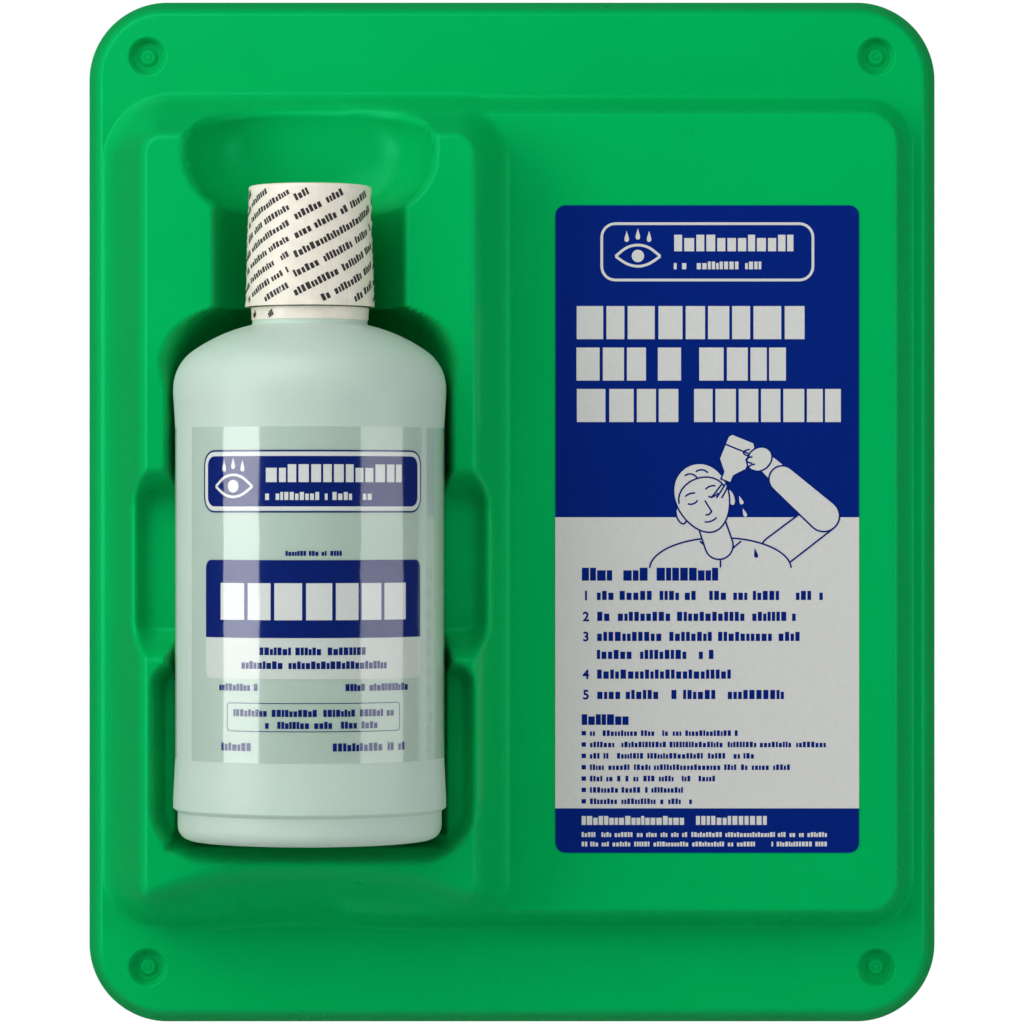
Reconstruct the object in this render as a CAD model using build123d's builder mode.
from build123d import *
import math
import os

# Wall-mounted eye and face wash station, in millimetres.
# The wall is the plane Y = 0 and the front faces -Y. The origin is on the wall, at the centre of the
# four mounting holes. A "depth" is a distance in front of the wall.

# ---- tray: sheet, lip and mounting holes ----
sheet = 2.6
draft = 18.5
tray_width = 292.0
tray_height = 352.0
tray_corner = 27.0
lip_depth = 12.0
lip_round = 3.0
edge_round_least = 0.3
hole_spacing_x = 250.0
hole_spacing_z = 312.5
hole_radius = 1.4
recess_floor_radius = 5.0
recess_depth = 3.6
recess_draft = 21.0
nib_radius = 2.5
nib_rise = 0.8

# ---- tray: raised label panel ----
panel_rise = 18.0
panel_side_margin = 5.0
panel_end_margin = 30.2
panel_corner = 16.0
panel_round = 1.6

# ---- tray: bottle box ----
box_rise = 45.0
box_width = 142.0
box_side_margin = 3.5
box_end_margin = 30.2
box_corner = 22.0
box_round = 3.0
box_low_draft = 0.24
box_foot_bow = 11.0
box_foot_bow_width = 108.0
box_foot_slope = 0.45

# ---- bottle ----
bottle_radius = 45.5
bottle_wall = 1.1
bottle_height = 171.5
seat_clearance = 0.3
waist_inset = 0.65
waist_run = 7.0
waist_margin_low = 13.5
waist_margin_high = 5.0
heel_inset = 1.5
heel_height = 10.5
heel_round = 8.0
heel_step = 0.7
foot_ring_radius = 34.0
push_up = 2.5
shoulder_radius = 15.5
shoulder_height = 21.3
shoulder_turn = 55.0
collar_step = 1.65
collar_height = 5.2
shoulder_lip = 0.4
neck_radius = 17.55
neck_wall = 2.15
neck_length = 16.6

# ---- cap thread: 38 mm finish, one and a half turns ----
thread_pitch = 4.23
thread_turns = 1.5
thread_rise = 1.2
thread_root = 1.9
thread_crest = 1.0
thread_sink = 0.3
thread_start = 3.2
thread_clearance = 0.3

# ---- cap, liner, pour insert and twist seal ----
cap_height = 39.4
cap_skirt_wall = 2.35
cap_taper = 1.2
cap_top_wall = 1.6
cap_upper_step = 0.85
cap_edge_round = 1.0
cap_gap = 1.4
cap_ribs = 60
cap_rib_radius = 0.55
cap_rib_bite = 0.35
cap_rib_margin = 3.0
ledge_width = 3.25
ledge_height = 1.2
liner_thickness = 1.0
liner_clearance = 0.05
insert_flange = 1.2
insert_flange_inset = 0.35
insert_plug_length = 8.0
insert_wall = 1.4
nozzle_base_radius = 9.0
nozzle_tip_radius = 4.2
nozzle_height = 15.0
nozzle_bore = 2.4
twist_disc = 0.8
twist_wing_width = 7.0
twist_wing_height = 3.2
twist_wing_thickness = 1.6

# ---- tamper seal ----
film = 0.25
film_gap = 0.2
seal_lip_width = 3.4
seal_skirt_overhang = 0.6
tear_gap = 0.3
neck_band_length = 4.2

# ---- labels on the bottle ----
label_film = 0.2
label_height = 109.5
label_bottom = 27.5
front_label_half_angle = 57.0
back_label_from = 61.0
back_label_to = 284.0

# ---- liquid ----
fill_below_shoulder_top = 12.0

# ---- pocket in the box ----
cradle_gap = 1.0
bottle_front_offset = 2.0
neck_channel_gap = 9.9
neck_channel_top = 43.0
cradle_shoulder_lead = 6.0
groove_width = 118.8
groove_width_depth = 12.0
groove_top = 12.0
groove_bottom = -47.2
groove_floor = 29.0
groove_draft = 15.0
groove_corner = 8.0
rib_width = 4.0
well_width = 108.4
well_end_margin = 14.8
well_gap = 7.0
well_floor = 37.0
well_draft = 10.0
well_top_corner = 6.0
well_bottom_corner = 18.0
scoop_width = 81.0
scoop_height = 42.0
scoop_back_gap = 4.9
scoop_draft = 11.0
scoop_floor_round = 9.0
scoop_centre_above_channel = 15.0

# ---- instruction label ----
sign_width = 103.0
sign_height = 219.6
sign_corner = 3.4
sign_film = 0.2
sign_right_margin = 19.3
sign_low_margin = 26.2

# ---- places worked out from the sizes ----
draft_ratio = math.tan(math.radians(draft))
half_width = tray_width / 2
half_height = tray_height / 2
lip_lean = lip_depth * draft_ratio

box_left = -half_width + lip_lean + box_side_margin
bottle_x = box_left + box_width / 2
box_front = lip_depth + box_rise
box_foot_top = half_height - lip_lean - box_end_margin
box_foot_bottom = -box_foot_top
box_crest_bottom = box_foot_bottom + box_rise * box_low_draft

panel_right = half_width - lip_lean - panel_side_margin
panel_left = bottle_x
panel_front = lip_depth + panel_rise

axis_depth = box_front - bottle_front_offset
cradle_radius = bottle_radius + cradle_gap
well_bottom = box_crest_bottom + well_end_margin
base_z = well_bottom + well_gap
shoulder_start = base_z + bottle_height - shoulder_height
shoulder_top = base_z + bottle_height
collar_top = shoulder_top + collar_height
neck_top = collar_top + neck_length
cap_low = collar_top + cap_gap
cap_top = cap_low + cap_height
insert_top = neck_top + insert_flange
nozzle_top = insert_top + nozzle_height
ledge_low = insert_top + liner_thickness + 2 * liner_clearance
channel_top = shoulder_top + neck_channel_top
neck_bore = neck_radius - neck_wall
collar_radius = neck_radius + collar_step
insert_flange_radius = neck_radius - insert_flange_inset
cap_bore = neck_radius + thread_rise + thread_clearance
cap_radius_low = cap_bore + cap_skirt_wall
cap_radius_top = cap_radius_low - cap_taper
cap_inner_radius = cap_bore - cap_upper_step
ledge_bore = cap_bore - ledge_width
sign_x = half_width - lip_lean - panel_side_margin - sign_right_margin - sign_width / 2
sign_z = box_foot_bottom + sign_low_margin + sign_height / 2
neck_channel_radius = cap_radius_low + film_gap + film + neck_channel_gap
scoop_floor = axis_depth - cap_radius_low - film_gap - film - scoop_back_gap
bottle_axis = Axis((bottle_x, -axis_depth, 0), (0, 0, 1))


def front_plane(depth):
    """Plane parallel to the wall, seen from the front, at a depth in front of the wall."""
    return Plane(origin=(0, -depth, 0), x_dir=(1, 0, 0), z_dir=(0, -1, 0))


def bottle_plane():
    """Upright plane through the bottle's axis, with its own origin on the axis at height zero."""
    return Plane(origin=(bottle_x, -axis_depth, 0), x_dir=(1, 0, 0), z_dir=(0, -1, 0))


def level_plane(height):
    """Level plane with its origin on the bottle's axis."""
    return Plane(origin=(bottle_x, -axis_depth, height), x_dir=(1, 0, 0), z_dir=(0, 0, 1))


def raised_form(left, right, bottom, top, corner, front, low_draft, edge_round, skin):
    """Drafted block from the wall to a depth, sized at the lip's front, with its surface moved in by skin.

    low_draft is the lean of its lower side, as a ratio; the other three sides have the tray's draft.
    """
    side_skin = skin * math.hypot(1, draft_ratio)
    low_skin = skin * math.hypot(1, low_draft)
    with BuildPart() as block:
        for depth in (0, front - skin):
            side = (lip_depth - depth) * draft_ratio - side_skin
            low = bottom - (lip_depth - depth) * low_draft + low_skin
            with BuildSketch(front_plane(depth)):
                with Locations(((left + right) / 2, (low + top + side) / 2)):
                    RectangleRounded(right - left + 2 * side, top + side - low, corner + side)
        loft(ruled=True)
        fillet(block.faces().sort_by(Axis.Y)[0].edges(), max(edge_round - skin, edge_round_least))
    return block.part


def pocket_form(left, right, bottom, top, low_corner, high_corner, mouth, floor, pocket_draft, skin):
    """Drafted pocket, sized at its mouth depth and carried on past it, with its surface grown by skin."""
    slope = math.tan(math.radians(pocket_draft))
    grow = skin / math.cos(math.radians(pocket_draft))
    past = box_front + 1 - mouth
    with BuildPart() as pocket:
        for depth in (floor - skin, mouth + past):
            spread = grow + (depth - mouth) * slope
            with BuildSketch(front_plane(depth)) as outline:
                with Locations(((left + right) / 2, (bottom + top) / 2)):
                    Rectangle(right - left + 2 * spread, top - bottom + 2 * spread)
                fillet(outline.vertices().group_by(Axis.Y)[0], low_corner + spread)
                fillet(outline.vertices().group_by(Axis.Y)[-1], high_corner + spread)
        loft(ruled=True)
    return pocket.part


def cradle_form(skin):
    """Half-round cradle for the bottle with its shoulder and the neck channel above it."""
    radius = cradle_radius + skin
    channel = neck_channel_radius + skin
    low = base_z - seat_clearance - skin
    bend = shoulder_start + cradle_shoulder_lead + skin
    top = shoulder_top + cradle_shoulder_lead + skin
    end = channel_top + skin
    with BuildPart() as cradle:
        with BuildSketch(bottle_plane()) as half:
            with BuildLine():
                Polyline((0, end), (0, low), (radius, low), (radius, bend))
                TangentArc((radius, bend), (channel, top), tangent=(0, 1))
                Polyline((channel, top), (channel, end), (0, end))
            make_face()
        revolve(axis=bottle_axis, revolution_arc=360)
        with BuildSketch(bottle_plane()) as silhouette:
            add(half.sketch_local)
            mirror(about=Plane.YZ)
        extrude(amount=box_front + 1 - axis_depth)
    return cradle.part


def scoop_form(skin):
    """Round-ended finger scoop above the cap, open at the top edge of the box."""
    grow = skin / math.cos(math.radians(scoop_draft))
    lean = (box_front - scoop_floor + skin) * math.tan(math.radians(scoop_draft))
    width = scoop_width + 2 * grow - 2 * lean
    height = scoop_height + 2 * grow - 2 * lean
    with BuildPart() as scoop:
        with BuildSketch(front_plane(scoop_floor - skin)):
            with Locations((bottle_x, channel_top + scoop_centre_above_channel)):
                SlotOverall(width, height)
        extrude(amount=box_front + 1 - scoop_floor + skin, taper=-scoop_draft)
        fillet(scoop.faces().sort_by(Axis.Y)[-1].edges(), scoop_floor_round)
    return scoop.part


def foot_form(skin):
    """Slanted cutter that bows the lower edge of the box's front upwards."""
    half = box_foot_bow_width / 2
    low = box_crest_bottom + skin
    reach = box_front + 2
    with BuildPart() as cutter:
        with BuildSketch(front_plane(reach)):
            with BuildLine():
                ThreePointArc(
                    (bottle_x - 2 * half, low - 3 * box_foot_bow),
                    (bottle_x, low + box_foot_bow),
                    (bottle_x + 2 * half, low - 3 * box_foot_bow),
                )
                Polyline(
                    (bottle_x + 2 * half, low - 3 * box_foot_bow),
                    (bottle_x + 2 * half, low - 80),
                    (bottle_x - 2 * half, low - 80),
                    (bottle_x - 2 * half, low - 3 * box_foot_bow),
                )
            make_face()
        extrude(amount=box_rise + 2 + skin, dir=(0, 1, -box_foot_slope))
    return cutter.part


def box_form(skin):
    """Bottle box with its bowed lower edge, with no pockets in it."""
    with BuildPart() as box:
        add(
            raised_form(
                box_left,
                box_left + box_width,
                box_foot_bottom,
                box_foot_top,
                box_corner,
                box_front,
                box_low_draft,
                box_round,
                skin,
            )
        )
        add(foot_form(skin), mode=Mode.SUBTRACT)
    return box.part


def groove_form(skin):
    """Finger groove across the whole box, behind the middle of the bottle."""
    rise = groove_width_depth * math.tan(math.radians(groove_draft))
    return pocket_form(
        bottle_x - groove_width / 2,
        bottle_x + groove_width / 2,
        groove_bottom + rise,
        groove_top - rise,
        groove_corner,
        groove_corner,
        box_front - groove_width_depth,
        groove_floor,
        groove_draft,
        skin,
    )


def well_form(skin):
    """Well round the lower part of the bottle."""
    return pocket_form(
        bottle_x - well_width / 2,
        bottle_x + well_width / 2,
        well_bottom,
        groove_bottom - rib_width,
        well_bottom_corner,
        well_top_corner,
        box_front,
        well_floor,
        well_draft,
        skin,
    )


def recess_form(skin):
    """Four round screw recesses in the lip's corners, each with a raised nib at its centre."""
    with BuildPart() as recesses:
        with BuildSketch(front_plane(lip_depth - recess_depth - skin)):
            with GridLocations(hole_spacing_x, hole_spacing_z, 2, 2):
                Circle(recess_floor_radius + skin)
        extrude(amount=recess_depth + skin + 1, taper=-recess_draft)
        with BuildSketch(front_plane(lip_depth - recess_depth - skin)):
            with GridLocations(hole_spacing_x, hole_spacing_z, 2, 2):
                Circle(max(nib_radius - skin, hole_radius + 0.2))
        extrude(amount=nib_rise, mode=Mode.SUBTRACT)
    return recesses.part


def tray_form(skin):
    """Solid under the tray's front surface, with that surface moved towards the wall by skin."""
    with BuildPart() as form:
        add(
            raised_form(
                -half_width + lip_lean,
                half_width - lip_lean,
                -half_height + lip_lean,
                half_height - lip_lean,
                tray_corner - lip_lean,
                lip_depth,
                draft_ratio,
                lip_round,
                skin,
            )
        )
        add(
            raised_form(
                panel_left,
                panel_right,
                box_foot_bottom,
                box_foot_top,
                panel_corner,
                panel_front,
                draft_ratio,
                panel_round,
                skin,
            )
        )
        add(box_form(skin))
        add(cradle_form(skin), mode=Mode.SUBTRACT)
        add(scoop_form(skin), mode=Mode.SUBTRACT)
        add(groove_form(skin), mode=Mode.SUBTRACT)
        add(well_form(skin), mode=Mode.SUBTRACT)
        add(recess_form(skin), mode=Mode.SUBTRACT)
    return form.part


os.makedirs("parts", exist_ok=True)

with BuildPart() as wall_tray:
    add(tray_form(0))
    add(tray_form(sheet), mode=Mode.SUBTRACT)
    with BuildSketch(front_plane(0)):
        with GridLocations(hole_spacing_x, hole_spacing_z, 2, 2):
            Circle(hole_radius)
    extrude(amount=lip_depth, mode=Mode.SUBTRACT)
wall_tray.part.label = "wall_tray"
export_step(wall_tray.part, "parts/wall_tray.step")

with BuildPart() as instruction_label:
    with BuildSketch(front_plane(panel_front)):
        with Locations((sign_x, sign_z)):
            RectangleRounded(sign_width, sign_height, sign_corner)
    extrude(amount=sign_film)
instruction_label.part.label = "instruction_label"
export_step(instruction_label.part, "parts/instruction_label.step")


def bottle_form(skin):
    """Bottle filled solid, without its neck, with its surface moved inwards by skin."""
    body = bottle_radius - skin
    waist = body - waist_inset
    heel = body - heel_inset
    foot = base_z + skin
    bend = shoulder_radius - skin
    bend_centre = bottle_radius - shoulder_radius
    turn = math.radians(shoulder_turn)
    bend_end = (bend_centre + bend * math.cos(turn), shoulder_start + bend * math.sin(turn))
    with BuildPart() as form:
        with BuildSketch(bottle_plane()):
            with BuildLine():
                Polyline(
                    (0, shoulder_top - skin),
                    (0, foot + push_up),
                    (foot_ring_radius, foot),
                    (heel - heel_round, foot),
                )
                TangentArc((heel - heel_round, foot), (heel, foot + heel_round), tangent=(1, 0))
                Polyline(
                    (heel, foot + heel_round),
                    (heel, base_z + heel_height - heel_step),
                    (body, base_z + heel_height),
                    (body, base_z + heel_height + heel_step),
                    (waist, base_z + waist_margin_low + waist_run),
                    (waist, shoulder_start - waist_margin_high - waist_run),
                    (body, shoulder_start - waist_margin_high),
                    (body, shoulder_start),
                )
                TangentArc((body, shoulder_start), bend_end, tangent=(0, 1))
                TangentArc(
                    bend_end,
                    (collar_radius + shoulder_lip - skin, shoulder_top - skin),
                    tangent=(-math.sin(turn), math.cos(turn)),
                )
                Line((collar_radius + shoulder_lip - skin, shoulder_top - skin), (0, shoulder_top - skin))
            make_face()
        revolve(axis=bottle_axis, revolution_arc=360)
    return form.part


def thread_form(radius, outward, start):
    """Helical thread ridge on a cylinder: outward is 1 for a ridge that stands out, -1 for one that stands in."""
    foot = radius - outward * thread_sink
    crest = radius + outward * thread_rise
    turn = Helix(pitch=thread_pitch, height=thread_pitch * thread_turns, radius=radius)
    across = Plane(origin=turn @ 0, x_dir=(1, 0, 0), z_dir=turn % 0)
    with BuildPart() as ridge:
        with BuildSketch(across):
            with BuildLine():
                Polyline(
                    (foot - radius, -thread_root / 2),
                    (crest - radius, -thread_crest / 2),
                    (crest - radius, thread_crest / 2),
                    (foot - radius, thread_root / 2),
                    close=True,
                )
            make_face()
        sweep(path=turn, is_frenet=True)
    return ridge.part.moved(Location((bottle_x, -axis_depth, start)))


with BuildPart() as bottle:
    add(bottle_form(0))
    with BuildSketch(level_plane(shoulder_top)):
        Circle(collar_radius)
    extrude(amount=collar_height)
    with BuildSketch(level_plane(collar_top)):
        Circle(neck_radius)
    extrude(amount=neck_length)
    add(thread_form(neck_radius, 1, collar_top + thread_start))
    add(bottle_form(bottle_wall), mode=Mode.SUBTRACT)
    with BuildSketch(level_plane(shoulder_top - 2 * bottle_wall)):
        Circle(neck_bore)
    extrude(amount=neck_top + 1 - shoulder_top + 2 * bottle_wall, mode=Mode.SUBTRACT)
bottle.part.label = "bottle"
export_step(bottle.part, "parts/bottle.step")

with BuildPart() as eyewash_solution:
    add(bottle_form(bottle_wall))
    with BuildSketch(level_plane(shoulder_top - fill_below_shoulder_top)):
        Circle(2 * bottle_radius)
    extrude(amount=bottle_height, mode=Mode.SUBTRACT)
eyewash_solution.part.label = "eyewash_solution"
export_step(eyewash_solution.part, "parts/eyewash_solution.step")

with BuildPart() as pour_insert:
    with BuildSketch(bottle_plane()):
        with BuildLine():
            Polyline(
                (nozzle_bore, nozzle_top),
                (nozzle_tip_radius, nozzle_top),
                (nozzle_base_radius, insert_top),
                (insert_flange_radius, insert_top),
                (insert_flange_radius, neck_top),
                (neck_bore, neck_top),
                (neck_bore, neck_top - insert_plug_length),
                (neck_bore - insert_wall, neck_top - insert_plug_length),
                (neck_bore - insert_wall, neck_top),
                (nozzle_base_radius - insert_wall, neck_top),
                (nozzle_bore, nozzle_top - insert_wall),
                close=True,
            )
        make_face()
    revolve(axis=bottle_axis, revolution_arc=360)
pour_insert.part.label = "pour_insert"
export_step(pour_insert.part, "parts/pour_insert.step")

with BuildPart() as twist_seal:
    with BuildSketch(level_plane(nozzle_top)):
        Circle(nozzle_tip_radius)
    extrude(amount=twist_disc)
    with BuildSketch(level_plane(nozzle_top + twist_disc)):
        RectangleRounded(twist_wing_width, twist_wing_thickness, twist_wing_thickness / 2 - 0.1)
    extrude(amount=twist_wing_height)
twist_seal.part.label = "twist_seal"
export_step(twist_seal.part, "parts/twist_seal.step")

with BuildPart() as cap_liner:
    with BuildSketch(level_plane(insert_top + liner_clearance)):
        Circle(cap_bore - thread_clearance)
        Circle(ledge_bore, mode=Mode.SUBTRACT)
    extrude(amount=liner_thickness)
cap_liner.part.label = "cap_liner"
export_step(cap_liner.part, "parts/cap_liner.step")

with BuildPart() as rib_groove:
    groove_out = cap_rib_radius - cap_rib_bite
    with BuildLine():
        groove_line = Line(
            (cap_radius_low + groove_out, 0, 0),
            (cap_radius_top + groove_out, 0, cap_height),
        )
    with BuildSketch(Plane(origin=groove_line @ 0, x_dir=(0, 1, 0), z_dir=groove_line % 0)):
        Circle(cap_rib_radius)
    sweep(path=groove_line)
    with BuildSketch(Plane.XY.offset(cap_height - cap_rib_margin)):
        Circle(2 * cap_radius_low)
    extrude(amount=2 * cap_rib_margin, mode=Mode.SUBTRACT)

with BuildPart() as screw_cap:
    with BuildSketch(bottle_plane()):
        with BuildLine():
            Polyline(
                (0, cap_top),
                (cap_radius_top, cap_top),
                (cap_radius_low, cap_low),
                (cap_bore, cap_low),
                (cap_bore, ledge_low),
                (ledge_bore, ledge_low),
                (ledge_bore, ledge_low + ledge_height),
                (cap_inner_radius, ledge_low + ledge_height),
                (cap_inner_radius, cap_top - cap_top_wall),
                (0, cap_top - cap_top_wall),
                close=True,
            )
        make_face()
    revolve(axis=bottle_axis, revolution_arc=360)
    fillet(screw_cap.edges().group_by(Axis.Z)[-1], cap_edge_round)
    with Locations(level_plane(cap_low)):
        with PolarLocations(0, cap_ribs):
            add(rib_groove.part, mode=Mode.SUBTRACT)
    add(thread_form(cap_bore, -1, collar_top + thread_start + thread_pitch / 2))
screw_cap.part.label = "screw_cap"
export_step(screw_cap.part, "parts/screw_cap.step")


def film_ring(low, high, radius_low, radius_high):
    """Band of film round the bottle's axis, with its inner radius at the bottom and at the top."""
    with BuildPart() as band:
        with BuildSketch(bottle_plane()):
            with BuildLine():
                Polyline(
                    (radius_low, low),
                    (radius_low + film, low),
                    (radius_high + film, high),
                    (radius_high, high),
                    close=True,
                )
            make_face()
        revolve(axis=bottle_axis, revolution_arc=360)
    return band.part


with BuildPart() as tamper_seal:
    add(
        film_ring(
            cap_low - seal_skirt_overhang,
            cap_top + film_gap,
            cap_radius_low + film_gap,
            cap_radius_top + film_gap,
        )
    )
    with BuildSketch(level_plane(cap_top + film_gap)):
        Circle(cap_radius_top + film_gap + film)
        Circle(cap_radius_top - seal_lip_width, mode=Mode.SUBTRACT)
    extrude(amount=film)
tamper_seal.part.label = "tamper_seal"
export_step(tamper_seal.part, "parts/tamper_seal.step")

with BuildPart() as seal_neck_band:
    band_top = cap_low - seal_skirt_overhang - tear_gap
    add(film_ring(band_top - neck_band_length, band_top, collar_radius, collar_radius))
seal_neck_band.part.label = "seal_neck_band"
export_step(seal_neck_band.part, "parts/seal_neck_band.step")


def wrap_form(angle_from, angle_to):
    """Film label round the bottle's waist between two angles, measured from the front towards the right."""
    low = base_z + label_bottom
    waist = bottle_radius - waist_inset
    with BuildPart() as wrap:
        with BuildSketch(level_plane(low)):
            with BuildLine():
                inner = CenterArc((0, 0), waist, angle_from - 90, angle_to - angle_from)
                outer = CenterArc((0, 0), waist + label_film, angle_from - 90, angle_to - angle_from)
                Line(inner @ 0, outer @ 0)
                Line(inner @ 1, outer @ 1)
            make_face()
        extrude(amount=label_height)
    return wrap.part


with BuildPart() as front_label:
    add(wrap_form(-front_label_half_angle, front_label_half_angle))
front_label.part.label = "front_label"
export_step(front_label.part, "parts/front_label.step")

with BuildPart() as back_label:
    add(wrap_form(back_label_from, back_label_to))
back_label.part.label = "back_label"
export_step(back_label.part, "parts/back_label.step")
